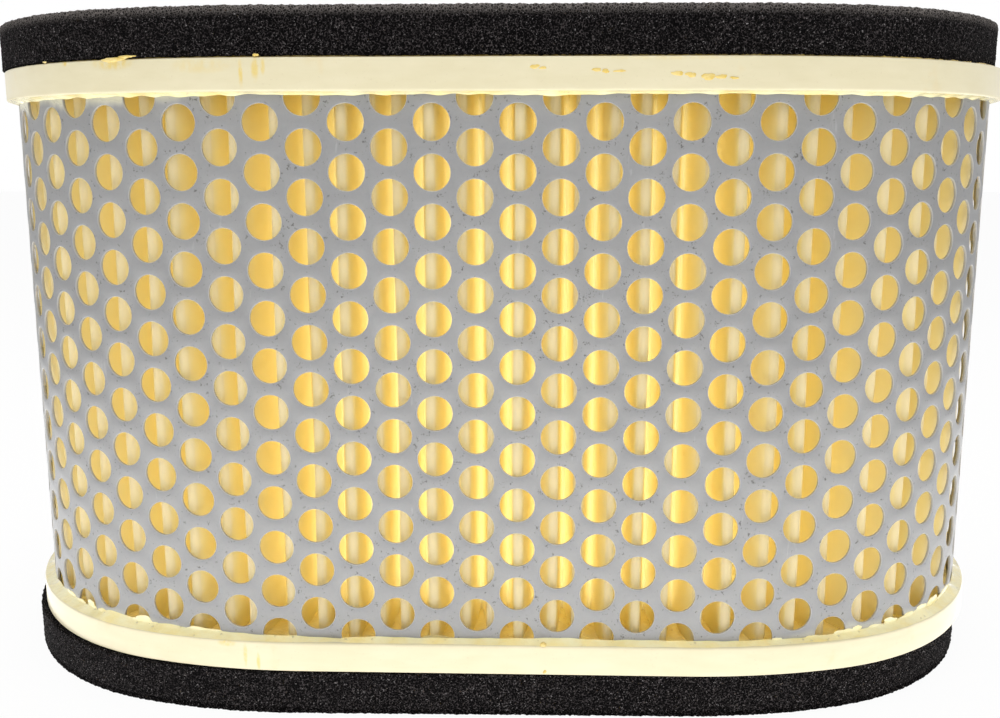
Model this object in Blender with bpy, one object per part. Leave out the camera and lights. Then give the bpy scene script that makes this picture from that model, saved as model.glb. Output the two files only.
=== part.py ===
"""Oval air filter element: a pleated paper pack between an inner mesh and a perforated steel sheet,
glued into a moulded channel ring at each end, with a foam gasket on each ring. Metres, +Z up,
origin at the bottom centre, X along the length of the oval."""

import math

import bmesh
import bpy
from mathutils.geometry import delaunay_2d_cdt

for old in list(bpy.data.objects):
    bpy.data.objects.remove(old)

# Plan oval at the outer face of the perforated sheet: a flat, a wide shoulder arc and a tight end arc.
FLAT_HALF = 0.0335
SHOULDER_RADIUS = 0.098
SHOULDER_ANGLE = math.radians(16.0)
END_RADIUS = 0.047

# Perforated sheet: 6 mm holes at 8 mm pitch, staggered, in upright columns.
SHEET_THICKNESS = 0.0005
HOLE_DIAMETER = 0.006
HOLE_PITCH = 0.008
COLUMN_PHASE = 0.0043
SHEET_SEAM = 0.0004

# Paper pack and inner mesh, from the sheet inwards.
PACK_CLEARANCE = 0.0004
PLEAT_DEPTH = 0.014
PLEAT_PITCH = 0.00505
PAPER_THICKNESS = 0.0005
MESH_THICKNESS = 0.0006
CLIP_ROOM = 0.0015
CLIP_GAP = 0.0003
CLIP_STEEL = 0.0004
CLIP_LEG = 0.005

# Moulded channel rings and the glue that fills them.
CAP_WALL = 0.0012
CAP_HEIGHT = 0.0053
GLUE_STANDOFF = 0.00035
BEAD_THICKNESS = 0.00035
BEAD_RISE = 0.0016
POTTING_DEPTH = 0.0008

# Foam gaskets.
FOAM_THICKNESS = 0.0076
FOAM_OVERHANG = 0.0002
GLUE_FILM = 0.0002

# Stack of the element.
BOND_GAP = 0.0001
VISIBLE_HEIGHT = 0.0934

# Heights above a seal face, the same at both ends.
FILM_AT = FOAM_THICKNESS + BOND_GAP
CAP_AT = FILM_AT + GLUE_FILM + BOND_GAP
LIP_AT = CAP_AT + CAP_HEIGHT
FLOOR_AT = CAP_AT + CAP_WALL
POTTING_AT = FLOOR_AT + BOND_GAP
PACK_AT = POTTING_AT + POTTING_DEPTH + BOND_GAP
HEIGHT = 2 * LIP_AT + VISIBLE_HEIGHT

# Distances from the sheet's outer face, outward positive.
BEAD_OUT = GLUE_STANDOFF + BEAD_THICKNESS
CHANNEL_OUT = BEAD_OUT + BOND_GAP
CAP_OUT = CHANNEL_OUT + CAP_WALL
PLEAT_OUT = -SHEET_THICKNESS - PACK_CLEARANCE
PLEAT_IN = PLEAT_OUT - PLEAT_DEPTH
MESH_OUT = PLEAT_IN - PACK_CLEARANCE
MESH_IN = MESH_OUT - MESH_THICKNESS
BEAD_IN = MESH_IN - GLUE_STANDOFF - BEAD_THICKNESS
CHANNEL_IN = BEAD_IN - BOND_GAP
CAP_IN = CHANNEL_IN - CAP_WALL

HALF_DEPTH = SHOULDER_RADIUS - (SHOULDER_RADIUS - END_RADIUS) * math.cos(SHOULDER_ANGLE)
END_ANGLE = math.pi / 2 - SHOULDER_ANGLE


def arc_lengths(at):
    """Lengths of the flat, the shoulder and the end in one quarter of the oval, offset by at."""
    return FLAT_HALF, (SHOULDER_RADIUS + at) * SHOULDER_ANGLE, (END_RADIUS + at) * END_ANGLE


def plan(s, at=0.0, out=0.0):
    """Point at distance s along the oval offset by at, from the front centre towards +X, moved to offset out."""
    flat, shoulder, end = arc_lengths(at)
    quarter = flat + shoulder + end
    turn, along = divmod(s, quarter)
    turn = int(turn) % 4
    if turn % 2:
        along = quarter - along
    centre_y = SHOULDER_RADIUS - HALF_DEPTH
    if along <= flat:
        angle, x, y = 0.0, along, -HALF_DEPTH - out
    elif along <= flat + shoulder:
        angle = (along - flat) / (SHOULDER_RADIUS + at)
        x = FLAT_HALF + (SHOULDER_RADIUS + out) * math.sin(angle)
        y = centre_y - (SHOULDER_RADIUS + out) * math.cos(angle)
    else:
        angle = SHOULDER_ANGLE + (along - flat - shoulder) / (END_RADIUS + at)
        x = FLAT_HALF + (SHOULDER_RADIUS - END_RADIUS) * math.sin(SHOULDER_ANGLE)
        x += (END_RADIUS + out) * math.sin(angle)
        y = -(END_RADIUS + out) * math.cos(angle)
    return (x if turn in (0, 1) else -x), (y if turn in (0, 3) else -y)


def stations():
    """Distances along the oval where the rings have their corners: the arcs' ends and steps along them."""
    flat, shoulder, end = arc_lengths(0.0)
    quarter = flat + shoulder + end
    steps = [flat, flat + shoulder / 2] + [flat + shoulder + end * k / 7 for k in range(8)]
    half = steps + [2 * quarter - s for s in reversed(steps[:-1])]
    return half + [2 * quarter + s for s in half]


STATIONS = stations()


def material(name, colour, roughness, metallic=0.0):
    made = bpy.data.materials.new(name)
    made.use_nodes = True
    shader = made.node_tree.nodes["Principled BSDF"]
    shader.inputs["Base Color"].default_value = (*colour, 1.0)
    shader.inputs["Roughness"].default_value = roughness
    shader.inputs["Metallic"].default_value = metallic
    return made


FOAM = material("black_open_cell_foam", (0.012, 0.011, 0.011), 0.95)
PLASTIC = material("cream_moulded_plastic", (0.86, 0.76, 0.53), 0.3)
GLUE = material("amber_glue", (0.80, 0.62, 0.24), 0.25)
STEEL = material("zinc_plated_steel", (0.42, 0.42, 0.42), 0.45, 0.6)
PAPER = material("yellow_filter_paper", (0.80, 0.58, 0.17), 0.85)
BRIGHT = material("bright_steel_wire", (0.50, 0.50, 0.50), 0.35, 1.0)


def solid(name, points, faces, look, smooth=False):
    """One closed body from points and faces, with its faces turned outwards."""
    mesh = bpy.data.meshes.new(name)
    mesh.from_pydata(points, [], faces)
    shape = bmesh.new()
    shape.from_mesh(mesh)
    bmesh.ops.recalc_face_normals(shape, faces=shape.faces)
    shape.to_mesh(mesh)
    shape.free()
    made = bpy.data.objects.new(name, mesh)
    made.data.materials.append(look)
    bpy.context.collection.objects.link(made)
    if smooth:
        mesh.shade_smooth()
        mesh.set_sharp_from_angle(angle=math.radians(35.0))
    return made


def ring(name, profile, look):
    """A profile of (offset, height) corners carried once round the oval."""
    points = [(*plan(s, 0.0, out), z) for s in STATIONS for out, z in profile]
    sides = len(profile)
    faces = []
    for i in range(len(STATIONS)):
        here = i * sides
        there = (i + 1) % len(STATIONS) * sides
        for j in range(sides):
            k = (j + 1) % sides
            faces.append((here + j, there + j, there + k, here + k))
    return solid(name, points, faces, look, smooth=True)


def box_profile(outer, inner, low, high):
    return [(outer, low), (outer, high), (inner, high), (inner, low)]


def end_assembly(end, height):
    """Gasket, glue film, channel ring, potting and beads of one end; height turns a distance from the seal face to z."""

    def at(profile):
        return [(out, height(z)) for out, z in profile]

    gasket_out = CAP_OUT + FOAM_OVERHANG
    gasket = box_profile(gasket_out, CAP_IN, 0.0, FOAM_THICKNESS)
    film = box_profile(CAP_OUT, CAP_IN + FOAM_OVERHANG, FILM_AT, FILM_AT + GLUE_FILM)
    channel = [
        (CAP_OUT, CAP_AT),
        (CAP_OUT, LIP_AT),
        (CHANNEL_OUT, LIP_AT),
        (CHANNEL_OUT, FLOOR_AT),
        (CHANNEL_IN, FLOOR_AT),
        (CHANNEL_IN, LIP_AT),
        (CAP_IN, LIP_AT),
        (CAP_IN, CAP_AT),
    ]
    bed = box_profile(BEAD_OUT, BEAD_IN, POTTING_AT, POTTING_AT + POTTING_DEPTH)
    outer_bead = [
        (GLUE_STANDOFF, PACK_AT),
        (BEAD_OUT, PACK_AT),
        (BEAD_OUT, LIP_AT + BOND_GAP),
        (CHANNEL_OUT + CAP_WALL / 2, LIP_AT + BOND_GAP),
        (GLUE_STANDOFF, LIP_AT + BEAD_RISE),
    ]
    inner_bead = [
        (BEAD_IN, PACK_AT),
        (BEAD_IN, LIP_AT + BOND_GAP),
        (BEAD_IN + BEAD_THICKNESS, LIP_AT + BEAD_RISE),
        (BEAD_IN + BEAD_THICKNESS, PACK_AT),
    ]
    ring(end + "_foam_gasket", at(gasket), FOAM)
    ring(end + "_gasket_glue", at(film), GLUE)
    ring(end + "_end_cap", at(channel), PLASTIC)
    ring(end + "_potting", at(bed), GLUE)
    ring(end + "_outer_bead", at(outer_bead), GLUE)
    ring(end + "_inner_bead", at(inner_bead), GLUE)


def hole_centres(first, columns, spacing):
    """Centres of the holes in one half of the sheet, in upright columns staggered by half a pitch."""
    rows = int((VISIBLE_HEIGHT - HOLE_DIAMETER - HOLE_PITCH / 2) / HOLE_PITCH) + 1
    for column in range(first, first + columns):
        stagger = HOLE_PITCH / 4 if column % 2 == 0 else -HOLE_PITCH / 4
        for row in range(rows):
            z = HEIGHT / 2 + stagger + (row - (rows - 1) / 2) * HOLE_PITCH
            yield COLUMN_PHASE + column * spacing, z


def perforated_half(name, first, columns, spacing):
    """Half of the sheet, punched flat and then rolled round the oval. A hole has four corners on each face,
    an eighth of a turn apart, so that the clear opening has eight sides."""
    low, high = PACK_AT, HEIGHT - PACK_AT
    left = COLUMN_PHASE + (first - 1) * spacing + SHEET_SEAM / 2
    right = COLUMN_PHASE + (first + columns) * spacing - SHEET_SEAM / 2
    width = right - left
    edge = [(left + width * k / (columns + 1), low) for k in range(columns + 2)]
    edge += [(left + width * k / (columns + 1), high) for k in range(columns + 1, -1, -1)]
    holes = list(hole_centres(first, columns, spacing))
    corner = 0.615 * HOLE_DIAMETER
    points, faces = [], []
    for depth, turn in ((0.0, math.pi / 8), (-SHEET_THICKNESS, 3 * math.pi / 8)):
        flat = list(edge)
        for s, z in holes:
            for k in range(4):
                a = turn + k * math.pi / 2
                flat.append((s + corner * math.cos(a), z + corner * math.sin(a)))
        loops = [list(range(len(edge)))]
        loops += [[len(edge) + 4 * h + k for k in range(4)] for h in range(len(holes))]
        lines = [(loop[i - 1], loop[i]) for loop in loops for i in range(len(loop))]
        cut = delaunay_2d_cdt(flat, lines, [], 1, 1e-9)
        start = len(points)
        points += [(*plan(s, 0.0, depth), z) for s, z in flat]
        for face in cut[2]:
            corners = [cut[3][v][0] for v in face]
            loop = {(c - len(edge)) // 4 if c >= len(edge) else -1 for c in corners}
            if loop == {-1} or len(loop) > 1:
                faces.append(tuple(start + c for c in corners))
    inner = len(points) // 2
    for i in range(len(edge)):
        k = (i + 1) % len(edge)
        faces.append((i, k, inner + k, inner + i))
    for h in range(len(holes)):
        at = len(edge) + 4 * h
        for k in range(4):
            n = (k + 1) % 4
            faces.append((at + k, at + n, inner + at + k))
            faces.append((inner + at + k, at + n, inner + at + n))
    solid(name, points, faces, STEEL)


def screen():
    """The perforated sheet in two halves of equal columns, joined in the plain margin at each end of the oval."""
    half = 2 * sum(arc_lengths(0.0))
    column = HOLE_PITCH * math.sqrt(3.0) / 2
    columns = 2 * round((half / column - 1) / 2)
    spacing = half / (columns + 1)
    perforated_half("outer_screen_front", -columns // 2, columns, spacing)
    perforated_half("outer_screen_back", columns // 2 + 1, columns, spacing)


def pleats():
    """The paper: a sharp-folded strip closed round the oval, and the clip over its joined fold at the back."""
    length = 4 * sum(arc_lengths(PLEAT_IN))
    count = 2 * round(length / PLEAT_PITCH / 2)
    pitch = length / count
    mitre = 0.0
    for _ in range(12):
        mitre = PAPER_THICKNESS * math.hypot(pitch / 2, PLEAT_DEPTH - mitre) / (pitch / 2)
    low, high = PACK_AT, HEIGHT - PACK_AT
    points, faces = [], []
    for k in range(2 * count):
        s = k * pitch / 2
        joined = CLIP_ROOM if k == count else 0.0
        if k % 2:
            outer, inner = PLEAT_OUT, PLEAT_OUT - mitre
        else:
            outer, inner = PLEAT_IN + mitre + joined, PLEAT_IN + joined
        for out in (outer, inner):
            x, y = plan(s, PLEAT_IN, out)
            points += [(x, y, low), (x, y, high)]
    for k in range(2 * count):
        a = 4 * k
        b = 4 * ((k + 1) % (2 * count))
        faces.append((a, b, b + 1, a + 1))
        faces.append((a + 2, b + 2, b + 3, a + 3))
        faces.append((a, b, b + 2, a + 2))
        faces.append((a + 1, b + 1, b + 3, a + 3))
    solid("pleated_paper", points, faces, PAPER)

    tip = HALF_DEPTH + PLEAT_IN + CLIP_ROOM
    spread = CLIP_LEG * pitch / 2 / (PLEAT_DEPTH - mitre - CLIP_ROOM)
    near, far = CLIP_GAP, CLIP_GAP + CLIP_STEEL
    side = [(near, -near), (near + spread, CLIP_LEG), (far + spread, CLIP_LEG), (far, -far)]
    section = side + [(-x, y) for x, y in reversed(side)]
    points = [(x, tip + y, z) for z in (low, high) for x, y in section]
    faces = [(i, (i + 1) % 8, (i + 1) % 8 + 8, i + 8) for i in range(8)]
    for end in (0, 8):
        faces.append((end, end + 1, end + 2, end + 3))
        faces.append((end + 4, end + 5, end + 6, end + 7))
        faces.append((end, end + 3, end + 4, end + 7))
    solid("pleat_seam_clip", points, faces, BRIGHT)


end_assembly("lower", lambda z: z)
screen()
pleats()
ring("inner_wire_mesh", box_profile(MESH_OUT, MESH_IN, PACK_AT, HEIGHT - PACK_AT), BRIGHT)
end_assembly("upper", lambda z: HEIGHT - z)
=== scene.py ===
"""Looks of the oval air filter element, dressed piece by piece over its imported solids."""

import math
import random

import bpy
import numpy as np
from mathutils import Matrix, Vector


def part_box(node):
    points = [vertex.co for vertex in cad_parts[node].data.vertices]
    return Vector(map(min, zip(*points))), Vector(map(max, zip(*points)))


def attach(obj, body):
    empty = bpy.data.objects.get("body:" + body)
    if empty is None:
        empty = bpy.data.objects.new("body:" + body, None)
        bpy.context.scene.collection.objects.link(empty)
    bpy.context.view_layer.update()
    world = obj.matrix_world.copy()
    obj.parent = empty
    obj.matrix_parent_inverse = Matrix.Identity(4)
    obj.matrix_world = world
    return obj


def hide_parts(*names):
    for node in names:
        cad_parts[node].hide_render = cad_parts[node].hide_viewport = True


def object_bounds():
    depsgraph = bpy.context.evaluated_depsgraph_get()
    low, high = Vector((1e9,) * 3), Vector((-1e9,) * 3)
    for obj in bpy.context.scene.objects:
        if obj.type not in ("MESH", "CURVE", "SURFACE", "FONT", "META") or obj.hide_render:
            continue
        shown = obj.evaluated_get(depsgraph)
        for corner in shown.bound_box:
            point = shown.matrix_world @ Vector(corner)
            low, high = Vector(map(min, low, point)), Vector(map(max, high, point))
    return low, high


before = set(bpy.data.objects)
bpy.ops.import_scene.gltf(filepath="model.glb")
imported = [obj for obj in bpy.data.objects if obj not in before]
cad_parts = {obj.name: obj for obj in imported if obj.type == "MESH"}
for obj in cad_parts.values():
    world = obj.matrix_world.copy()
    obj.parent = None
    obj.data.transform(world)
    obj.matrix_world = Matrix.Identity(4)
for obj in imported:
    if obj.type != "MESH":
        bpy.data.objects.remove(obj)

CAD_BOX = [list(corner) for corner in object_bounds()]
MM = 0.001

# Studio: a lit white table, one broad lamp on each side, one in front, one above, and soft lamps in the open
# bore that light the folds from within. The camera stands close in front, a little above the middle.
CAMERA_AT = (6.9 * MM, -225.7 * MM, 96.2 * MM)
CAMERA_DOWN, CAMERA_LEFT, CAMERA_ROLL = math.radians(10.5), math.radians(1.78), math.radians(0.03)
CAMERA_LENS, SENSOR_WIDTH, NEAREST_SEEN = 38.9, 36.0, 0.01
FOLD_BOUNCES, MOST_BOUNCES = 16, 24

bpy.ops.object.select_all(action="DESELECT")
bpy.ops.object.camera_add(location=CAMERA_AT)
camera = bpy.context.object
camera.rotation_euler = (math.pi / 2 - CAMERA_DOWN, CAMERA_ROLL, CAMERA_LEFT)
camera.data.lens = CAMERA_LENS
camera.data.sensor_width = SENSOR_WIDTH
camera.data.clip_start = NEAREST_SEEN
bpy.context.scene.camera = camera
bpy.context.scene.view_settings.view_transform = "Standard"
bpy.context.scene.cycles.diffuse_bounces = FOLD_BOUNCES
bpy.context.scene.cycles.max_bounces = MOST_BOUNCES
bpy.context.scene.cycles.transmission_bounces = FOLD_BOUNCES


def lamp(name, at, aim, wide, deep, power):
    """A soft rectangular lamp at one place, turned to face another."""
    bpy.ops.object.light_add(type="AREA", location=at)
    made = bpy.context.object
    made.name = name
    made.data.shape = "RECTANGLE"
    made.data.size = wide
    made.data.size_y = deep
    made.data.energy = power
    way = np.array(aim) - np.array(at)
    flat = math.hypot(way[0], way[1])
    turn = math.atan2(way[1], way[0]) - math.pi / 2 if flat > 0 else 0.0
    made.rotation_euler = (math.atan2(flat, -way[2]), 0.0, turn)
    made.visible_camera = False


MIDDLE = (0.0, 0.0, 0.06)
lamp("lamp_left", (-0.5, -0.55, 0.75), MIDDLE, 0.6, 0.6, 0.75)
lamp("lamp_right", (0.55, -0.5, 0.75), MIDDLE, 0.6, 0.6, 0.75)
lamp("lamp_front", (0.0, -1.1, 0.7), MIDDLE, 0.6, 0.6, 2.0)
lamp("lamp_top", (0.0, 0.0, 0.6), MIDDLE, 0.35, 0.35, 2.2)
lamp("lit_table", (0.0, 0.0, 0.0005), MIDDLE, 0.62, 0.52, 1.35)
lamp("lit_table_in_bore", (0.0, 0.0, 0.001), MIDDLE, 0.13, 0.05, 0.04)
BORE_LAMP_AT, BORE_LAMP_BACK = 0.07, 0.012
for name, way in (("lamp_in_bore_front", -1.0), ("lamp_in_bore_back", 1.0)):
    lamp(name, (0.0, -way * BORE_LAMP_BACK, BORE_LAMP_AT), (0.0, way, BORE_LAMP_AT), 0.105, 0.075, 0.051)


class Field:
    """A shader value, so that a pattern can be written as an expression."""

    def __init__(self, tree, socket):
        self.tree = tree
        self.socket = socket

    def make(self, kind, settings, sockets, output=0):
        """Any node: its kind, its settings, and the values or links of its sockets."""
        node = self.tree.nodes.new(kind)
        for key, setting in settings.items():
            setattr(node, key, setting)
        for key, given in sockets.items():
            if isinstance(given, Field):
                self.tree.links.new(given.socket, node.inputs[key])
            else:
                node.inputs[key].default_value = given
        return Field(self.tree, node.outputs[output])

    def math(self, operation, a, b):
        return self.make("ShaderNodeMath", {"operation": operation}, {0: a, 1: b})

    def __add__(self, other):
        return self.math("ADD", self, other)

    def __radd__(self, other):
        return self.math("ADD", other, self)

    def __sub__(self, other):
        return self.math("SUBTRACT", self, other)

    def __rsub__(self, other):
        return self.math("SUBTRACT", other, self)

    def __mul__(self, other):
        return self.math("MULTIPLY", self, other)

    def __rmul__(self, other):
        return self.math("MULTIPLY", other, self)

    def between(self, low, high):
        """0 below low, 1 above high, with a soft step between; turned round where low is above high."""
        return self.make("ShaderNodeMapRange", {"interpolation_type": "SMOOTHSTEP"},
                         {"Value": self, "From Min": low, "From Max": high})

    def colour(self, low, high):
        """A blend of two colours by this value."""
        return self.make("ShaderNodeMix", {"data_type": "RGBA"}, {0: self, 6: low, 7: high}, 2)

    def noise(self, scale, detail=2.0, rough=0.5):
        return self.make("ShaderNodeTexNoise", {}, {"Vector": self, "Scale": scale, "Detail": detail,
                                                    "Roughness": rough})

    def cells(self, scale, feature="F1"):
        return self.make("ShaderNodeTexVoronoi", {"feature": feature}, {"Vector": self, "Scale": scale})

    def stretched(self, scale):
        """The same coordinates, stretched along each axis."""
        return self.make("ShaderNodeMapping", {}, {"Vector": self, "Scale": scale})

    def bump(self, distance, strength=1.0):
        return self.make("ShaderNodeBump", {}, {"Height": self, "Distance": distance, "Strength": strength})


def finish(name, source="Object"):
    """A new material, its coordinates as a Field, and a function that sets its shader's sockets."""
    made = bpy.data.materials.new(name)
    made.use_nodes = True
    tree = made.node_tree
    shader = tree.nodes["Principled BSDF"]
    place = tree.nodes.new("ShaderNodeTexCoord")

    def dress(sockets):
        for key, given in sockets.items():
            if isinstance(given, Field):
                tree.links.new(given.socket, shader.inputs[key])
            else:
                shader.inputs[key].default_value = given

    return made, Field(tree, place.outputs[source]), dress


# Floor and surround: a plain pale floor in a white room, painted matt. Both look white to the camera and in
# the metal, and light the part softly.
SURROUND_LIGHT, FLOOR_SEEN_WHITE, FLOOR_SIZE = 0.4, 0.95, 6.0

bpy.ops.mesh.primitive_plane_add(size=FLOOR_SIZE)
floor = bpy.context.object
floor.name = "studio_floor"
floor_finish, _, dress = finish("pale_floor")
dress({"Base Color": (0.9, 0.9, 0.9, 1.0), "Roughness": 0.7})
tree = floor_finish.node_tree
seen = tree.nodes.new("ShaderNodeLightPath")
glow = tree.nodes.new("ShaderNodeEmission")
blend = tree.nodes.new("ShaderNodeMixShader")
share = Field(tree, seen.outputs["Is Camera Ray"]) * FLOOR_SEEN_WHITE
tree.links.new(share.socket, blend.inputs[0])
tree.links.new(tree.nodes["Principled BSDF"].outputs[0], blend.inputs[1])
tree.links.new(glow.outputs[0], blend.inputs[2])
tree.links.new(blend.outputs[0], tree.nodes["Material Output"].inputs["Surface"])
floor.data.materials.append(floor_finish)

world = bpy.data.worlds.new("studio_surround")
world.use_nodes = True
bpy.context.scene.world = world
tree = world.node_tree
seen = tree.nodes.new("ShaderNodeLightPath")
white = Field(tree, seen.outputs["Is Camera Ray"]) + Field(tree, seen.outputs["Is Glossy Ray"])
white = (white + Field(tree, seen.outputs["Is Transmission Ray"])).between(0.0, 1.0)
strength = SURROUND_LIGHT + white * (1.0 - SURROUND_LIGHT)
tree.nodes["Background"].inputs["Color"].default_value = (1.0, 1.0, 1.0, 1.0)
tree.links.new(strength.socket, tree.nodes["Background"].inputs["Strength"])


# Paper pack: one strip of resin-treated filter paper, folded into upright pleats with small round folds
# and closed into an oval. Its folds are laid by hand, so no two are quite alike.
FLAT_HALF, SHOULDER_RADIUS, SHOULDER_ANGLE, END_RADIUS = 33.5 * MM, 98 * MM, math.radians(16), 47 * MM
HALF_DEPTH = SHOULDER_RADIUS - (SHOULDER_RADIUS - END_RADIUS) * math.cos(SHOULDER_ANGLE)


def quarter(at):
    """Lengths of the flat, the shoulder arc and the end arc in a quarter of the oval, moved out by at."""
    end_angle = math.pi / 2 - SHOULDER_ANGLE
    return FLAT_HALF, (SHOULDER_RADIUS + at) * SHOULDER_ANGLE, (END_RADIUS + at) * end_angle


def oval(s, out, at=0.0):
    """Points of the plan oval, s along it from the front centre towards +X, then moved outwards by out.
    The oval is the sheet's outer face, moved out by at where s is measured along another layer."""
    flat, shoulder, end = quarter(at)
    total = flat + shoulder + end
    turn = np.floor_divide(s, total).astype(int) % 4
    along = np.mod(s, total)
    along = np.where(turn % 2 == 1, total - along, along)
    first = np.clip((along - flat) / (SHOULDER_RADIUS + at), 0.0, SHOULDER_ANGLE)
    second = np.clip((along - flat - shoulder) / (END_RADIUS + at), 0.0, None)
    angle = first + second
    on_end = along > flat + shoulder
    radius = np.where(on_end, END_RADIUS, SHOULDER_RADIUS) + out
    end_centre = (SHOULDER_RADIUS - END_RADIUS) * math.sin(SHOULDER_ANGLE)
    centre_x = np.minimum(along, flat) + np.where(on_end, end_centre, 0.0)
    centre_y = np.where(on_end, 0.0, SHOULDER_RADIUS - HALF_DEPTH)
    x = centre_x + radius * np.sin(angle)
    y = centre_y - radius * np.cos(angle)
    return np.where(turn < 2, x, -x), np.where((turn == 0) | (turn == 3), y, -y)


def formed(name, steps, corners, place):
    """A flat grid, formed by moving its points to place(u, v), with the edges that meet sewn together."""
    bpy.ops.object.select_all(action="DESELECT")
    bpy.ops.mesh.primitive_grid_add(x_subdivisions=steps, y_subdivisions=corners, size=2.0)
    piece = bpy.context.object
    piece.name = name
    flat = np.empty(3 * len(piece.data.vertices))
    piece.data.vertices.foreach_get("co", flat)
    u, v = (flat.reshape(-1, 3)[:, :2].T + 1.0) / 2.0
    x, y, z = place(u, v)
    piece.data.vertices.foreach_set("co", np.stack([x, y, z], axis=1).ravel())
    bpy.ops.object.mode_set(mode="EDIT")
    bpy.ops.mesh.select_all(action="SELECT")
    bpy.ops.mesh.remove_doubles(threshold=1e-6)
    bpy.ops.mesh.normals_make_consistent(inside=False)
    bpy.ops.object.mode_set(mode="OBJECT")
    return piece


def apply_modifier(piece, kind, settings):
    bpy.context.view_layer.objects.active = piece
    made = piece.modifiers.new(kind.title(), kind)
    for key, setting in settings.items():
        setattr(made, key, setting)
    bpy.ops.object.modifier_apply(modifier=made.name)


def settle(piece, look, slot, *nodes):
    """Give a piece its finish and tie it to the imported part."""
    if not piece.data.materials:
        piece.data.materials.append(look)
    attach(piece, "root")
    if nodes:
        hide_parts(*nodes)


PLEAT_OUT, PLEAT_DEPTH, PLEAT_PITCH = -1.0 * MM, 13.8 * MM, 5.05 * MM
FOLD_RADIUS, PAPER_THICKNESS = 0.62 * MM, 0.45 * MM
FOLD_STEPS, WALL_STEPS, PAPER_ROWS = 6, 3, 14
MOST_LEAN, MOST_SHORT, SWAY_WIDE, SWAY_TURNS = 0.16, 0.9 * MM, 0.35 * MM, 5.0
PAPER_LOW, PAPER_HIGH = (corner[2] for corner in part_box("pleated_paper"))
pleat_root = PLEAT_OUT - PLEAT_DEPTH
root_length = 4 * sum(quarter(pleat_root))
pleats = 2 * round(root_length / PLEAT_PITCH / 2)
pleat_steps = 2 * (FOLD_STEPS + WALL_STEPS)
draw = random.Random(7)
lean = [draw.uniform(-MOST_LEAN, MOST_LEAN) for _ in range(pleats)]
sway = [draw.uniform(0.0, 2 * math.pi) for _ in range(pleats)]
short = [draw.uniform(0.0, MOST_SHORT) for _ in range(pleats)]


def fold_paper(u, v):
    """A point of the strip, u along it and v up it: outer fold, wall, inner fold, wall, in every pleat."""
    step = np.rint(u * pleats * pleat_steps).astype(int)
    pleat, inside = np.divmod(step, pleat_steps)
    pleat = pleat % pleats
    half, inside = np.divmod(inside, FOLD_STEPS + WALL_STEPS)
    turned = np.clip(inside / FOLD_STEPS, 0.0, 1.0) * math.pi
    wall = np.clip((inside - FOLD_STEPS) / WALL_STEPS, 0.0, 1.0)
    half_pitch = root_length / pleats / 2
    across = np.where(half == 0, 0.0, half_pitch) - FOLD_RADIUS * np.cos(turned)
    across = across + wall * (half_pitch - 2 * FOLD_RADIUS)
    rise = FOLD_RADIUS * np.sin(turned)
    reach = PLEAT_DEPTH - 2 * FOLD_RADIUS - np.take(short, pleat)
    out = np.where(half == 0, reach + rise, -rise)
    out = np.where(wall > 0, np.where(half == 0, reach * (1 - wall), reach * wall), out)
    depth = out / PLEAT_DEPTH
    height = PAPER_LOW + v * (PAPER_HIGH - PAPER_LOW)
    bend = np.sin(v * math.pi) * np.sin(v * SWAY_TURNS + np.take(sway, pleat)) * SWAY_WIDE
    s = pleat * 2 * half_pitch + across + depth * (np.take(lean, pleat) * 2 * half_pitch + bend)
    x, y = oval(s, pleat_root + FOLD_RADIUS + out, pleat_root)
    return x, y, height


paper = formed("pleated_paper_folds", pleats * pleat_steps, PAPER_ROWS, fold_paper)
apply_modifier(paper, "SOLIDIFY", {"thickness": PAPER_THICKNESS, "offset": 0.0})
bpy.ops.object.shade_smooth()

PAPER_LETS_THROUGH, FOLD_HOLDS_BACK = 0.70, 0.26
# The outer folds nearest the sheet are painted paler and greyer than the walls: a painted highlight where the
# front light falls on them.
PAPER_TIP_PAINTED_HIGHLIGHT, PAPER_WALL = (0.74, 0.71, 0.65, 1.0), (0.995, 0.955, 0.74, 1.0)
PAPER_DEEP, PAPER_LIT_THROUGH = (0.99, 0.945, 0.70, 1.0), (1.0, 0.955, 0.74, 1.0)
paper_finish, at, dress = finish("yellow_filter_paper")
along = Field(at.tree, at.make("ShaderNodeTexCoord", {}, {}, 2).socket)
across = at.make("ShaderNodeSeparateXYZ", {}, {0: along}) * float(pleats)
phase = at.math("FRACT", across, 0.0)
tip_end = FOLD_STEPS / pleat_steps
painted_tip_highlight = phase.between(tip_end * 1.08, tip_end * 0.92) * phase.between(-0.02, 0.06)
fibres = at.stretched((1.0, 1.0, 0.35)).noise(2600.0, 4.0, 0.7)
crepe = at.stretched((0.25, 0.25, 1.0)).noise(1500.0, 3.0, 0.6)
cloud = at.noise(60.0, 3.0)
wall = (cloud * 0.6 + fibres * 0.5).between(0.35, 0.8).colour(PAPER_DEEP, PAPER_WALL)
pale = (painted_tip_highlight * (0.55 + 0.5 * fibres)).colour(wall, PAPER_TIP_PAINTED_HIGHLIGHT)
dress({"Base Color": pale, "Roughness": 0.8 + 0.15 * fibres,
       "Normal": (fibres * 0.5 + crepe * 0.5).bump(0.08 * MM)})
lit_side = Field(at.tree, at.tree.nodes["Principled BSDF"].outputs[0])
far_side = at.make("ShaderNodeBsdfTranslucent", {}, {"Color": PAPER_LIT_THROUGH})
inner_fold = phase.between(0.47, 0.53) * phase.between(0.86, 0.80)
lets = PAPER_LETS_THROUGH - FOLD_HOLDS_BACK * inner_fold
both = at.make("ShaderNodeMixShader", {}, {0: lets, 1: lit_side, 2: far_side})
at.tree.links.new(both.socket, at.tree.nodes["Material Output"].inputs["Surface"])
settle(paper, paper_finish, "paper", "pleated_paper")

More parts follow.
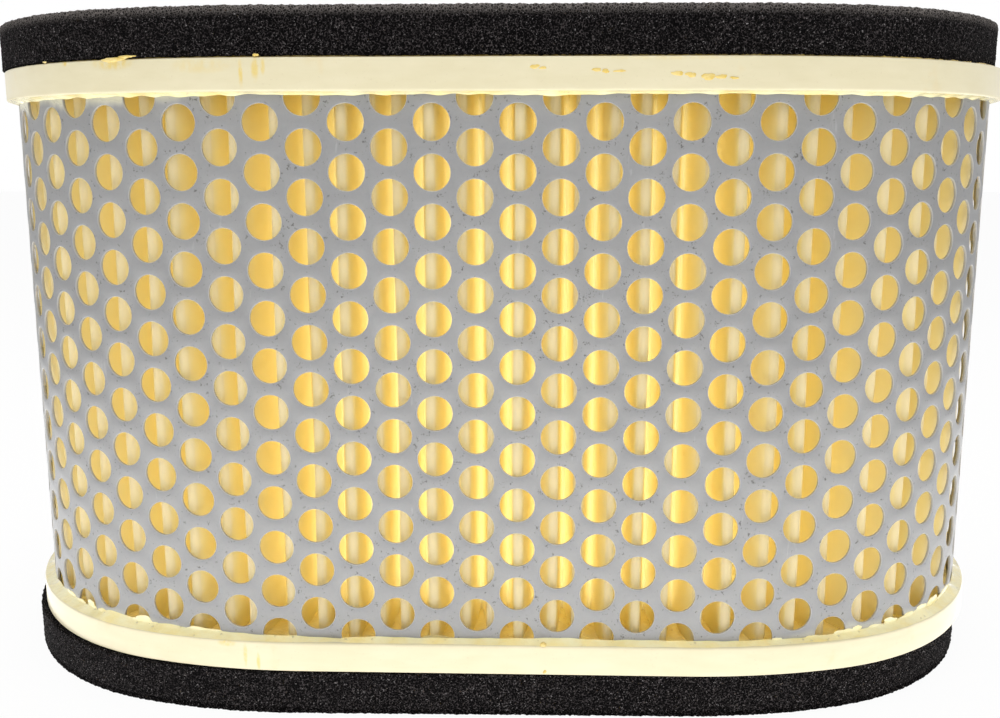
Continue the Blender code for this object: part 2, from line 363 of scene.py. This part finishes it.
# Seam clip: a narrow strip of thin bright steel, drawn and cut to length. It is folded over the glued fold
# that closes the paper at the back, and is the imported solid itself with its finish.
clip_finish, at, dress = finish("bright_strip_steel")
drawn = at.stretched((1.0, 1.0, 0.03)).noise(3000.0, 3.0)
dress({"Base Color": drawn.colour((0.46, 0.46, 0.45, 1.0), (0.62, 0.62, 0.61, 1.0)), "Metallic": 1.0,
       "Roughness": 0.3 + 0.25 * drawn, "Normal": drawn.bump(0.01 * MM)})
clip = bpy.data.objects["pleat_seam_clip"]
clip.data.materials.clear()
clip.data.materials.append(clip_finish)

# Inner mesh: plain-woven galvanised steel wire, each wire bent over and under those it crosses. It is rolled
# into an oval inside the folds, so that suction can't draw them in.
WIRE, WEAVE_PITCH = 0.36 * MM, 3.2 * MM
mesh_low, mesh_high = (corner[2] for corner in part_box("inner_wire_mesh"))
mesh_mid = -15.6 * MM
mesh_length = 4 * sum(quarter(mesh_mid))
upright_wires = 2 * round(mesh_length / WEAVE_PITCH / 2)
level_wires = int((mesh_high - mesh_low) / WEAVE_PITCH)
weave = bpy.data.curves.new("inner_wire_weave", "CURVE")
weave.dimensions = "3D"
weave.bevel_depth = WIRE / 2
weave.bevel_resolution = 0


def wire(s, out, z, closed):
    """One round wire through a row of points on the oval."""
    x, y = oval(s, mesh_mid + out, mesh_mid)
    line = weave.splines.new("POLY")
    line.points.add(len(x) - 1)
    line.points.foreach_set("co", np.stack([x, y, z, np.ones_like(x)], axis=1).ravel())
    line.use_cyclic_u = closed


half_step = np.arange(2 * level_wires + 1)
for k in range(upright_wires):
    swing = np.cos(math.pi * (half_step / 2 + k)) * WIRE / 2
    height = mesh_low + (mesh_high - mesh_low) * half_step / (2 * level_wires)
    wire(np.full(len(half_step), k * mesh_length / upright_wires), swing, height, False)
round_step = np.arange(2 * upright_wires)
for k in range(1, level_wires):
    swing = -np.cos(math.pi * (round_step / 2 + k)) * WIRE / 2
    height = np.full(len(round_step), mesh_low + (mesh_high - mesh_low) * k / level_wires)
    wire(round_step * mesh_length / upright_wires / 2, swing, height, True)

bpy.ops.object.select_all(action="DESELECT")
mesh_piece = bpy.data.objects.new("inner_wire_weave", weave)
bpy.context.collection.objects.link(mesh_piece)
mesh_piece.select_set(True)
bpy.context.view_layer.objects.active = mesh_piece
bpy.ops.object.convert(target="MESH")
mesh_piece = bpy.context.object
bpy.ops.object.shade_smooth()

wire_finish, at, dress = finish("galvanised_wire")
dull = at.noise(500.0, 4.0, 0.65)
stain = at.noise(45.0, 3.0).between(0.45, 0.75)
zinc = dull.colour((0.34, 0.34, 0.34, 1.0), (0.62, 0.62, 0.61, 1.0))
dress({"Base Color": (stain * 0.5).colour(zinc, (0.36, 0.32, 0.27, 1.0)), "Metallic": 1.0,
       "Roughness": 0.3 + 0.3 * dull, "Normal": dull.bump(0.02 * MM)})
settle(mesh_piece, wire_finish, "wire", "inner_wire_mesh")


# Perforated sheet: thin zinc-plated steel with round holes punched in staggered upright columns. It is
# punched flat, cut to height through the end rows, rolled round the folds and joined in a plain margin.
HOLE_RADIUS, HOLE_PITCH, SHEET_THICKNESS = 3.0 * MM, 8.0 * MM, 0.5 * MM
HOLE_SIDES, CELL_CUTS, EDGE_ROUND = 28, 3, 0.10 * MM
COLUMN_PHASE, SHEET_SEAM = 4.3 * MM, 0.4 * MM
sheet_low, sheet_high = (corner[2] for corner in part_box("outer_screen_front"))
half_length = 2 * sum(quarter(0.0))
columns = 2 * round((half_length / (HOLE_PITCH * math.sqrt(0.75)) - 1) / 2)
column_step = half_length / (columns + 1)
rows = math.ceil((sheet_high - sheet_low) / HOLE_PITCH) + 2


def choose(piece, test):
    """In edit mode, select the vertices whose place passes a test."""
    bpy.ops.mesh.select_all(action="DESELECT")
    bpy.ops.object.mode_set(mode="OBJECT")
    for vertex in piece.data.vertices:
        vertex.select = test(vertex.co)
    bpy.ops.object.mode_set(mode="EDIT")


def punched_sheet(name, first):
    """Half of the sheet: one punched cell, repeated in columns and rows, trimmed and rolled."""
    left = COLUMN_PHASE + (first - 0.5) * column_step
    stagger = HOLE_PITCH / 4 if first % 2 == 0 else -HOLE_PITCH / 4
    middle = (sheet_low + sheet_high) / 2 + stagger - (rows // 2) * HOLE_PITCH
    bpy.ops.object.select_all(action="DESELECT")
    bpy.ops.mesh.primitive_plane_add(size=1.0, location=(left + column_step / 2, middle, 0.0))
    sheet = bpy.context.object
    sheet.name = name
    sheet.scale = (column_step, HOLE_PITCH, 1.0)
    bpy.ops.object.transform_apply(location=True, rotation=True, scale=True)
    bpy.ops.object.mode_set(mode="EDIT")
    bpy.ops.mesh.delete(type="ONLY_FACE")
    bpy.ops.mesh.select_all(action="SELECT")
    bpy.ops.mesh.subdivide(number_cuts=CELL_CUTS)
    bpy.ops.mesh.primitive_circle_add(vertices=HOLE_SIDES, radius=HOLE_RADIUS,
                                      location=(left + column_step / 2, middle, 0.0))
    bpy.ops.mesh.select_all(action="SELECT")
    bpy.ops.mesh.fill(use_beauty=True)
    bpy.ops.object.mode_set(mode="OBJECT")
    step_back = -1.0 if stagger > 0 else 1.0
    for count, move in ((2, (column_step, step_back * HOLE_PITCH / 2, 0.0)),
                        (columns // 2, (2 * column_step, 0.0, 0.0)),
                        (rows, (0.0, HOLE_PITCH, 0.0))):
        apply_modifier(sheet, "ARRAY", {"count": count, "use_relative_offset": False,
                                        "use_constant_offset": True, "constant_offset_displace": move,
                                        "use_merge_vertices": True, "merge_threshold": 1e-6})
    bpy.ops.object.mode_set(mode="EDIT")
    for height, way in ((sheet_low, -1.0), (sheet_high, 1.0)):
        bpy.ops.mesh.select_all(action="SELECT")
        bpy.ops.mesh.bisect(plane_co=(0.0, height, 0.0), plane_no=(0.0, way, 0.0), clear_outer=True)
    margin = (column_step - SHEET_SEAM) / 2
    for edge, way in ((left, -1.0), (left + columns * column_step, 1.0)):
        choose(sheet, lambda co: abs(co.x - edge) < 1e-6)
        bpy.ops.mesh.extrude_region_move(TRANSFORM_OT_translate={"value": (way * margin, 0.0, 0.0)})
    bpy.ops.mesh.select_all(action="SELECT")
    bpy.ops.mesh.normals_make_consistent(inside=False)
    bpy.ops.object.mode_set(mode="OBJECT")
    flat = np.empty(3 * len(sheet.data.vertices))
    sheet.data.vertices.foreach_get("co", flat)
    s, height, _ = flat.reshape(-1, 3).T
    x, y = oval(s, 0.0)
    sheet.data.vertices.foreach_set("co", np.stack([x, y, height], axis=1).ravel())
    sheet.data.materials.append(sheet_finish)
    sheet.data.materials.append(edge_finish_painted_highlight)
    apply_modifier(sheet, "SOLIDIFY", {"thickness": SHEET_THICKNESS, "offset": -1.0,
                                       "material_offset_rim": 1})
    apply_modifier(sheet, "BEVEL", {"width": EDGE_ROUND, "segments": 2, "limit_method": "ANGLE",
                                    "angle_limit": math.radians(50), "material": 1})
    bpy.ops.object.shade_smooth_by_angle(angle=math.radians(32))
    return sheet


LIPS_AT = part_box("lower_end_cap")[1][2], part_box("upper_end_cap")[0][2]
FILM_LOW, FILM_ENDS, FILM_FROM, FILM_TO = 0.5 * MM, 2.8 * MM, 38 * MM, 66 * MM
FILM_PALE = (0.62, 0.60, 0.46, 1.0)
sheet_finish, at, dress = finish("zinc_plated_sheet")
grain = at.noise(1400.0, 4.0, 0.7)
brush = at.stretched((1.0, 1.0, 0.06)).noise(900.0, 3.0, 0.6)
cloud = at.noise(28.0, 4.0, 0.6)
pits = at.noise(1500.0, 3.0, 0.7).between(0.605, 0.675) * at.noise(300.0, 2.0).between(0.40, 0.54)
scuffs = at.stretched((1.0, 1.0, 0.25)).noise(420.0, 3.0, 0.75).between(0.66, 0.74)
ZINC_DARK, ZINC_LIGHT = (0.248, 0.248, 0.25, 1.0), (0.31, 0.31, 0.31, 1.0)
zinc = (cloud * 0.7 + grain * 0.35).between(0.2, 0.85).colour(ZINC_DARK, ZINC_LIGHT)
zinc = (scuffs * 0.3).colour(zinc, (0.44, 0.44, 0.44, 1.0))
zinc = (pits * 0.75).colour(zinc, (0.07, 0.065, 0.06, 1.0))
side = at.make("ShaderNodeSeparateXYZ", {}, {0: at}, 0)
height = at.make("ShaderNodeSeparateXYZ", {}, {0: at}, 2)
wander = at.stretched((1.0, 1.0, 0.4)).noise(120.0, 4.0, 0.65)
left = side.between(-FILM_FROM, -FILM_TO)
right = side.between(FILM_FROM, FILM_TO) * height.between(50 * MM, 40 * MM)
reach = ((left + right) * FILM_ENDS + FILM_LOW) * (wander * 1.6)
gap = at.math("MINIMUM", LIPS_AT[1] - height, (height - LIPS_AT[0]) * 1.2)
film = (reach - gap).between(-0.1 * MM, 2.0 * MM)
shows = height.between(50 * MM, 70 * MM) * 0.4 + 0.4
zinc = (film * shows).colour(zinc, FILM_PALE)
dress({"Base Color": zinc, "Metallic": 0.4 * (1.0 - film),
       "Roughness": (0.36 + 0.16 * cloud + 0.1 * grain) - 0.25 * film,
       "Normal": (grain * 0.6 + brush * 0.4 + film * at.noise(420.0, 2.0) * 14.0).bump(0.015 * MM)})

# Cut edges and hole walls: bare steel, painted lighter than the face; the lighter colour is a painted
# highlight along the rims.
edge_finish_painted_highlight, at, dress = finish("cut_steel_painted_highlight")
torn = at.noise(1800.0, 3.0, 0.7)
dress({"Base Color": torn.colour((0.32, 0.32, 0.32, 1.0), (0.45, 0.45, 0.44, 1.0)), "Metallic": 0.1,
       "Roughness": 0.25 + 0.25 * torn, "Normal": torn.bump(0.02 * MM)})
for name, first in (("outer_screen_front", -columns // 2), ("outer_screen_back", columns // 2 + 1)):
    settle(punched_sheet(name + "_sheet", first), sheet_finish, "steel", name)


# End caps: a channel ring at each end, moulded in cream plastic with rounded lips and a satin face.
# The pack is glued into the channel, and some of the glue was smeared over the face.
CAP_WALL, LIP_ROUND, HEEL_ROUND = 1.2 * MM, 0.45 * MM, 0.3 * MM
RING_STEPS, ROUND_STEPS = 360, 5
oval_length = 4 * sum(quarter(0.0))


def rounded(corners):
    """A closed outline from (out, height, radius) corners, each turned into an arc."""
    outline = []
    for k, (out, height, radius) in enumerate(corners):
        here = np.array([out, height])
        before = np.array(corners[k - 1][:2]) - here
        after = np.array(corners[(k + 1) % len(corners)][:2]) - here
        start = here + before / np.linalg.norm(before) * radius
        stop = here + after / np.linalg.norm(after) * radius
        for t in np.linspace(0.0, 1.0, ROUND_STEPS):
            outline.append((1 - t) ** 2 * start + 2 * t * (1 - t) * here + t ** 2 * stop)
    return np.array(outline)


def ring(name, steps, outline):
    """An outline of (out, height) points carried once round the oval; outline may be a function of s."""
    count = len(outline(np.zeros(1))[0])

    def place(u, v):
        s = u * oval_length
        corner = np.rint(v * count).astype(int) % count
        shapes = outline(s)
        out, z = shapes[np.arange(len(s)), corner].T
        x, y = oval(s, out)
        return x, y, z

    piece = formed(name, steps, count, place)
    bpy.ops.object.shade_smooth_by_angle(angle=math.radians(40))
    return piece


def same(outline):
    """The same outline all the way round."""
    return lambda s: np.broadcast_to(outline, (len(s), *outline.shape))


def waver(s, seed, longest, shortest, terms=14):
    """A smooth uneven wave round the oval, about -1 to 1, that closes on itself."""
    chance = random.Random(seed)
    low, high = oval_length / longest, oval_length / shortest
    total = np.zeros_like(s)
    for _ in range(terms):
        waves = round(low * (high / low) ** chance.random())
        total = total + np.sin(2 * math.pi * (waves * s / oval_length + chance.random()))
    return total / math.sqrt(terms)


box = {name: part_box(name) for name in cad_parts}
full_depth = 2 * HALF_DEPTH
cap_out = (box["lower_end_cap"][1][1] - box["lower_end_cap"][0][1] - full_depth) / 2
mesh_face = (box["inner_wire_mesh"][1][1] - box["inner_wire_mesh"][0][1] - full_depth) / 2
channel_out = cap_out - CAP_WALL
cap_in = -17.85 * MM
channel_in = cap_in + CAP_WALL
ELEMENT_HEIGHT = CAD_BOX[1][2] - CAD_BOX[0][2]

# Smudges of yellow glue on the caps' front: place across and up, width, height in mm, and strength.
CAP_STAINS = (
    (-61.5, 111.6, 9.0, 3.0, 0.75), (-66.5, 112.3, 8.0, 1.2, 0.5), (-71.0, 111.8, 1.2, 1.4, 0.9),
    (-39.6, 109.6, 0.9, 6.5, 0.7), (-37.3, 110.2, 1.5, 5.0, 0.7), (-36.0, 110.6, 1.0, 3.2, 0.6),
    (-46.0, 110.8, 12.0, 3.0, 0.3), (-43.2, 10.8, 1.0, 5.4, 0.6), (-40.9, 9.6, 0.9, 4.4, 0.7),
    (-46.5, 12.8, 4.0, 1.6, 0.6), (28.0, 111.8, 30.0, 1.2, 0.25),
)
cap_finish, at, dress = finish("cream_moulded_plastic")
haze = at.noise(55.0, 4.0, 0.6)
flow = at.stretched((1.0, 1.0, 4.0)).noise(160.0, 3.0, 0.55)
dust = at.noise(2400.0, 2.0).between(0.66, 0.74)
amber = at.noise(120.0, 3.0, 0.7).between(0.6, 0.78)
CREAM_DARK, CREAM_LIGHT, STAIN = (0.68, 0.615, 0.405, 1.0), (0.735, 0.67, 0.465, 1.0), (0.74, 0.54, 0.10, 1.0)
cream = (haze * 0.6 + flow * 0.5).between(0.3, 0.8).colour(CREAM_DARK, CREAM_LIGHT)
cream = (amber * 0.35).colour(cream, (0.72, 0.54, 0.22, 1.0))
cream = (dust * 0.25).colour(cream, (0.55, 0.46, 0.30, 1.0))
side, face, height = (at.make("ShaderNodeSeparateXYZ", {}, {0: at}, k) for k in range(3))
smudge = at.stretched((1.0, 1.0, 0.5)).noise(900.0, 4.0, 0.7)
for x, z, wide, high, strong in CAP_STAINS:
    over, up = (side - x * MM) * (2.0 / wide / MM), (height - z * MM) * (2.0 / high / MM)
    stain = (over * over + up * up).between(1.0, 0.0) * smudge.between(0.3, 0.62)
    stain = stain * face.between(0.0, -1.0 * MM)
    cream = (stain * strong).colour(cream, STAIN)
dress({"Base Color": cream, "Roughness": 0.24 + 0.18 * haze, "Coat Weight": 0.25 * flow,
       "Normal": (haze * 0.5 + flow * 0.5).bump(0.12 * MM)})


def stack(end):
    """Turns a height above an end's seal face into z, for the lower or the upper end."""
    return (lambda h: h) if end == "lower" else (lambda h: ELEMENT_HEIGHT - h)


ENDS = ("lower", "upper")
CAP_AT, LIP_AT = box["lower_end_cap"][0][2], box["lower_end_cap"][1][2]
FLOOR_AT = CAP_AT + CAP_WALL
for end in ENDS:
    z = stack(end)
    corners = [
        (cap_out, CAP_AT, HEEL_ROUND), (cap_out, LIP_AT, LIP_ROUND),
        (channel_out, LIP_AT, LIP_ROUND), (channel_out, FLOOR_AT, HEEL_ROUND),
        (channel_in, FLOOR_AT, HEEL_ROUND), (channel_in, LIP_AT, LIP_ROUND),
        (cap_in, LIP_AT, LIP_ROUND), (cap_in, CAP_AT, HEEL_ROUND),
    ]
    cap = ring(end + "_cap_ring", RING_STEPS, same(rounded([(o, z(h), r) for o, h, r in corners])))
    settle(cap, cap_finish, "plastic", end + "_end_cap")


# Glue: an amber two-part glue that beds the pack in each channel, stands up as a fillet along both lips and
# was wiped or squeezed out here and there.
BED_RISE, BED_WAVE, BED_DIP, BED_LIFT = 3.9 * MM, 0.5 * MM, 0.7 * MM, 0.05 * MM
BED_OUTS = (-0.9, -0.9, -2.2, -5.0, -10.5, -13.5, -14.9, -14.9)
glue_finish, at, dress = finish("amber_glue")
thick = at.noise(240.0, 4.0, 0.6)
tone = thick.between(0.3, 0.75).colour((0.96, 0.90, 0.56, 1.0), (0.93, 0.80, 0.36, 1.0))
bubbles = at.cells(900.0).between(0.22, 0.1) * at.noise(300.0).between(0.5, 0.6)
dress({"Base Color": (bubbles * 0.6).colour(tone, (0.86, 0.78, 0.55, 1.0)), "Roughness": 0.06 + 0.12 * thick,
       "Coat Weight": 0.4, "Normal": (thick + bubbles + 0.4 * at.noise(900.0, 2.0)).bump(0.22 * MM)})


def section(s, rows, z):
    """The outlines at each s from rows of out and height, every one a number or one number for each s."""
    level = np.zeros_like(s)
    return np.stack([np.stack([o + level, z(h + level)], axis=1) for o, h in rows], axis=1)


for end, seed in zip(ENDS, (11, 12)):
    z = stack(end)

    def bed(s):
        top = FLOOR_AT + BED_RISE + BED_WAVE * waver(s, seed, 120 * MM, 6 * MM)
        dip = FLOOR_AT + BED_RISE - BED_DIP + BED_WAVE * waver(s, seed + 20, 60 * MM, 5 * MM)
        low = FLOOR_AT + BED_LIFT
        heights = (low, top, dip, dip, dip, dip, top, low)
        return section(s, [(o * MM, h) for o, h in zip(BED_OUTS, heights)], z)

    potting = ring(end + "_potting_bed", 2 * RING_STEPS, bed)
    settle(potting, glue_finish, "glue", end + "_potting")

RUN_RISE = {"lower": 0.75 * MM, "upper": 0.12 * MM}
RUN_AT, RUN_HALF = {"lower": (-78 * MM, 98 * MM), "upper": (-92 * MM,)}, 26 * MM
FILLET_HIGH, FILLET_ROOT, FILLET_TOE = 0.38 * MM, 2.4 * MM, 0.03 * MM
FILLET_LAP, RUN_LAP, FILLET_EDGE = 1.0 * MM, 0.06 * MM, -0.05 * MM
FILLET_TUCK, FILLET_SLACK, FILLET_HOLLOW = 0.06 * MM, 0.02 * MM, 1.3


def round_gap(s, at):
    """Distance along the oval from a place on it, the shorter way round."""
    away = np.mod(s - at, oval_length)
    return np.minimum(away, oval_length - away)


def glue_spot(s, height, wide, high, thick, face_at, chance):
    """A dried drop on a face of the oval: a ball pressed flat, with an uneven edge."""
    bpy.ops.mesh.primitive_ico_sphere_add(subdivisions=4, radius=1.0)
    spot = bpy.context.object
    ball = np.empty(3 * len(spot.data.vertices))
    spot.data.vertices.foreach_get("co", ball)
    side, face, rise = ball.reshape(-1, 3).T
    angle = np.arctan2(rise, side)
    edge = 1.0
    for waves in (2, 3, 5, 8):
        edge = edge + 0.3 / waves * np.sin(waves * angle + chance.uniform(0.0, 2 * math.pi))
    across, up = 9.0 * side + chance.uniform(0.0, 6.0), 7.0 * rise + chance.uniform(0.0, 6.0)
    lump = 1.0 + 0.15 * np.sin(across) * np.sin(up)
    x, y = oval((s + side * edge * wide / 2) * MM, face_at + face * lump * thick * MM)
    z = (height + rise * edge * high / 2) * MM
    spot.data.vertices.foreach_set("co", np.stack([x, y, z], axis=1).ravel())
    bpy.ops.object.shade_smooth()
    return spot


def join_drops(piece, drops, face_at, chance):
    """Join a row of drops to a piece of glue."""
    spots = [glue_spot(*drop, face_at, chance) for drop in drops]
    bpy.ops.object.select_all(action="DESELECT")
    for each in [piece] + spots:
        each.select_set(True)
    bpy.context.view_layer.objects.active = piece
    bpy.ops.object.join()


# Lumps along the lower lip as they were laid: place along the oval, height, width, height of the lump and
# thickness, in mm. Before it set, the glue sank, spread along the lip and thinned.
DROPS = {
    "lower": ((-86.0, 14.1, 3.0, 1.5, 0.5), (-81.5, 14.0, 2.4, 1.1, 0.45), (-77.4, 14.2, 2.0, 1.9, 0.5),
              (-74.2, 13.8, 2.4, 1.2, 0.45), (-70.5, 13.8, 3.4, 1.3, 0.45), (-66.6, 13.7, 1.6, 1.0, 0.4),
              (-64.2, 14.0, 3.6, 2.0, 0.5), (-61.0, 13.7, 2.0, 1.0, 0.4), (-57.4, 13.6, 2.6, 0.9, 0.4),
              (-51.4, 13.8, 4.4, 1.4, 0.45), (-48.6, 13.6, 1.8, 0.9, 0.4), (-43.9, 13.5, 2.0, 0.7, 0.35),
              (49.9, 13.6, 1.4, 0.9, 0.4), (56.3, 13.6, 1.6, 0.9, 0.4), (63.0, 13.8, 3.0, 1.2, 0.45),
              (65.2, 14.1, 1.2, 1.4, 0.4), (69.5, 13.7, 3.2, 1.0, 0.45), (73.0, 14.2, 2.0, 1.6, 0.45),
              (77.4, 13.9, 3.6, 1.5, 0.5), (82.0, 14.2, 3.0, 2.0, 0.5), (87.0, 14.3, 3.4, 2.2, 0.55),
              (92.5, 14.2, 4.0, 2.0, 0.55)),
    "upper": (),
}
LUMP_SANK, LUMP_SPREAD, LUMP_STRETCH = 0.1, 1.5, 1.05
LUMP_THIN_FROM, LUMP_THIN_TO, LUMP_KEEPS = 0.35, 0.14, 0.2


def set_lump(s, height, wide, high, thick):
    """A lump after the glue has set, to a tenth of a millimetre."""
    thin = round(LUMP_THIN_TO + LUMP_KEEPS * (thick - LUMP_THIN_FROM), 2)
    return s, round(height - LUMP_SANK, 1), round(wide * LUMP_SPREAD, 1), round(high * LUMP_STRETCH, 1), thin


for end, seed in zip(ENDS, (31, 32)):
    z = stack(end)

    def outer_fillet(s):
        rise = FILLET_HIGH * (1.2 + 0.4 * waver(s, seed, 90 * MM, 4 * MM))
        run = sum(np.exp(-(round_gap(s, at) / RUN_HALF) ** 4) for at in RUN_AT[end])
        lumpy = np.clip(0.6 + 0.35 * waver(s, seed + 5, 20 * MM, 5 * MM), 0.1, 1.3)
        rise = np.clip(rise + RUN_RISE[end] * run * lumpy, 0.1 * MM, 2.5 * MM)
        lap = channel_out + FILLET_LAP + RUN_LAP * run * np.clip(lumpy, 0.3, 1.1)
        start = LIP_AT + FILLET_EDGE
        rows = [(-FILLET_TUCK, LIP_AT - FILLET_ROOT), (channel_out - FILLET_SLACK, LIP_AT - FILLET_ROOT),
                (channel_out - FILLET_SLACK, LIP_AT - LIP_ROUND)]
        for t in np.linspace(0.0, 1.0, 7):
            rows.append((lap * (1 - t) ** FILLET_HOLLOW + FILLET_TOE * t,
                         start + (LIP_AT + rise - start) * t))
        rows.append((-FILLET_TUCK, LIP_AT + rise))
        return section(s, rows, z)

    fillet = ring(end + "_outer_fillet", 4 * RING_STEPS, outer_fillet)
    bpy.ops.object.shade_smooth_by_angle(angle=math.radians(70))
    drops = [set_lump(*lump) for lump in DROPS[end]]
    join_drops(fillet, drops, 0.0, random.Random(seed))
    settle(fillet, glue_finish, "glue", end + "_outer_bead")

    def inner_fillet(s):
        rise = np.clip(FILLET_HIGH * (1.0 + 0.4 * waver(s, seed + 60, 90 * MM, 5 * MM)), 0.3 * MM, 3.0 * MM)
        rows = [(mesh_face, LIP_AT - FILLET_ROOT), (channel_in, LIP_AT - FILLET_ROOT),
                (channel_in, LIP_AT - 0.2 * MM)]
        for t in np.linspace(0.0, 1.0, 6):
            rows.append((channel_in * (1 - t) + mesh_face * t - 0.3 * MM * (1 - t) ** 2,
                         LIP_AT + rise * t ** 1.5))
        return section(s, rows, z)

    lining = ring(end + "_inner_fillet", RING_STEPS, inner_fillet)
    settle(lining, glue_finish, "glue", end + "_inner_bead")

# Spots of contact glue on the caps' faces, in the same order as the lumps.
SPOTS = {
    "upper": ((-61.0, 112.0, 4.6, 0.7, 0.16), (-58.6, 112.4, 3.4, 0.4, 0.2), (-76.3, 112.2, 1.2, 0.3, 0.15),
              (-37.0, 112.3, 0.9, 0.5, 0.15), (6.9, 110.4, 1.6, 0.6, 0.14), (8.2, 110.2, 1.0, 0.5, 0.12),
              (16.6, 109.9, 1.6, 0.5, 0.13), (18.0, 109.7, 1.2, 0.6, 0.13), (20.2, 109.7, 1.8, 0.4, 0.11),
              (29.2, 109.3, 2.2, 0.6, 0.14), (31.3, 109.1, 1.6, 0.8, 0.14), (34.0, 108.8, 2.4, 0.9, 0.17),
              (36.0, 108.8, 1.6, 0.7, 0.14), (38.0, 108.6, 1.4, 0.4, 0.12)),
    "lower": ((8.9, 13.7, 1.0, 0.9, 0.5), (9.2, 8.6, 0.6, 0.6, 0.2)),
}


FILM_WAVE, FILM_SET_BACK, FILM_SET_IN, FILM_PRESS = 0.15 * MM, 1.4 * MM, 0.4 * MM, 0.1 * MM
contact_finish, at, dress = finish("yellow_contact_glue")
dried = at.noise(700.0, 3.0, 0.6)
dress({"Base Color": dried.between(0.35, 0.7).colour((0.70, 0.50, 0.10, 1.0), (0.78, 0.62, 0.25, 1.0)),
       "Roughness": 0.2 + 0.2 * dried, "Normal": dried.bump(0.15 * MM)})


for end, seed in zip(ENDS, (51, 52)):
    z = stack(end)
    film_low = box["lower_gasket_glue"][0][2] - FILM_PRESS
    film_high = box["lower_gasket_glue"][1][2] + FILM_PRESS

    def film(s):
        reach = cap_out + FILM_WAVE * waver(s, seed, 40 * MM, 3 * MM) - FILM_SET_BACK
        rows = [(reach, film_low), (reach, film_high), (cap_in + FILM_SET_IN, film_high),
                (cap_in + FILM_SET_IN, film_low)]
        return section(s, rows, z)

    smear = ring(end + "_glue_film", 3 * RING_STEPS, film)
    join_drops(smear, SPOTS[end], cap_out, random.Random(seed))
    settle(smear, contact_finish, "glue", end + "_gasket_glue")


# Foam gaskets: a ring cut from black open-cell foam and stuck on each cap, a little inside its edge and not
# quite centred. Its cut faces are rough with broken cells, and the upper rim is painted lighter at its top
# edge: a painted highlight.
FOAM_STEP, FOAM_BACK_STEP, FOAM_ROUND, FOAM_CORNER = 0.28 * MM, 0.8 * MM, 0.4 * MM, 0.1 * MM
FOAM_SET_IN = {"lower": 0.5 * MM, "upper": 0.7 * MM}
FOAM_STRETCH = {"lower": 1.004, "upper": 1.0}
FOAM_SHIFT = {"lower": -1.0 * MM, "upper": -1.0 * MM}
FOAM_TURN = {"lower": math.radians(0.7), "upper": 0.0}
PAINTED_HIGHLIGHT_EDGE = 1.9 * MM
foam_thick = box["lower_foam_gasket"][1][2] - box["lower_foam_gasket"][0][2] + 0.1 * MM
foam_finish, at, dress = finish("black_open_cell_foam")
# The foam's cell pattern, with painted light and shade: the strands are painted lighter, a painted highlight,
# and the pores between them near black, painted shade in the open cells.
strand = at.cells(2300.0, "DISTANCE_TO_EDGE").between(0.19, 0.05)
broken = at.noise(2600.0, 3.0, 0.7)
web_and_painted_shade = strand * broken.between(0.44, 0.62)
dusty = at.noise(70.0, 3.0)
black = (web_and_painted_shade * (0.6 + 0.7 * dusty)).colour((0.0010, 0.0008, 0.0009, 1.0), (0.085, 0.074, 0.075, 1.0))
glints = at.noise(3300.0, 2.0).between(0.65, 0.71)
black = (glints * 0.7).colour(black, (0.34, 0.32, 0.32, 1.0))
height = at.make("ShaderNodeSeparateXYZ", {}, {0: at}, 2)
around = at.make("ShaderNodeSeparateXYZ", {}, {0: at.make("ShaderNodeTexCoord", {}, {}, 2)}, 1)
# Painted highlight: the outer top edge of the upper ring is painted lighter, as if light caught it.
rim = around.between(0.4, 0.3) + around.between(0.95, 1.0)
painted_top_highlight = height.between(ELEMENT_HEIGHT - PAINTED_HIGHLIGHT_EDGE, ELEMENT_HEIGHT + 0.2 * MM)
painted_top_highlight = painted_top_highlight * (0.12 + strand * 0.88) * rim
dress({"Base Color": painted_top_highlight.colour(black, (0.25, 0.225, 0.21, 1.0)), "Roughness": 0.85 + 0.1 * broken,
       "Specular IOR Level": 0.06, "Normal": (web_and_painted_shade + broken * 0.5).bump(0.25 * MM)})
pores = bpy.data.textures.new("foam_pores", "VORONOI")
pores.noise_scale = 0.5 * MM
lumps = bpy.data.textures.new("foam_lumps", "CLOUDS")
lumps.noise_scale = 9.0 * MM

for end in ENDS:
    z = stack(end)
    outer = cap_out - FOAM_SET_IN[end]
    corners = rounded([(outer, 0.0, FOAM_ROUND), (outer, foam_thick, FOAM_CORNER),
                       (cap_in, foam_thick, FOAM_CORNER), (cap_in, 0.0, FOAM_ROUND)])
    around = []
    for k, point in enumerate(corners):
        gap = corners[(k + 1) % len(corners)] - point
        seen = min(point[1], point[1] + gap[1]) < foam_thick - FOAM_CORNER and point[0] > cap_in + FOAM_ROUND
        count = max(1, round(np.linalg.norm(gap) / (FOAM_STEP if seen else FOAM_BACK_STEP)))
        around += [point + gap * t / count for t in range(count)]
    around = np.array([(o, z(h)) for o, h in around])
    foam = ring(end + "_foam_ring", int(oval_length / FOAM_STEP), same(around))
    bpy.ops.object.shade_smooth()
    apply_modifier(foam, "DISPLACE", {"texture": lumps, "strength": 0.06 * MM, "mid_level": 0.5})
    apply_modifier(foam, "DISPLACE", {"texture": pores, "strength": 0.32 * MM, "mid_level": 0.45})
    foam.location.x = FOAM_SHIFT[end]
    foam.scale.x = FOAM_STRETCH[end]
    foam.rotation_euler.z = FOAM_TURN[end]
    bpy.ops.object.transform_apply(location=True, rotation=True, scale=True)
    settle(foam, foam_finish, "foam", end + "_foam_gasket")
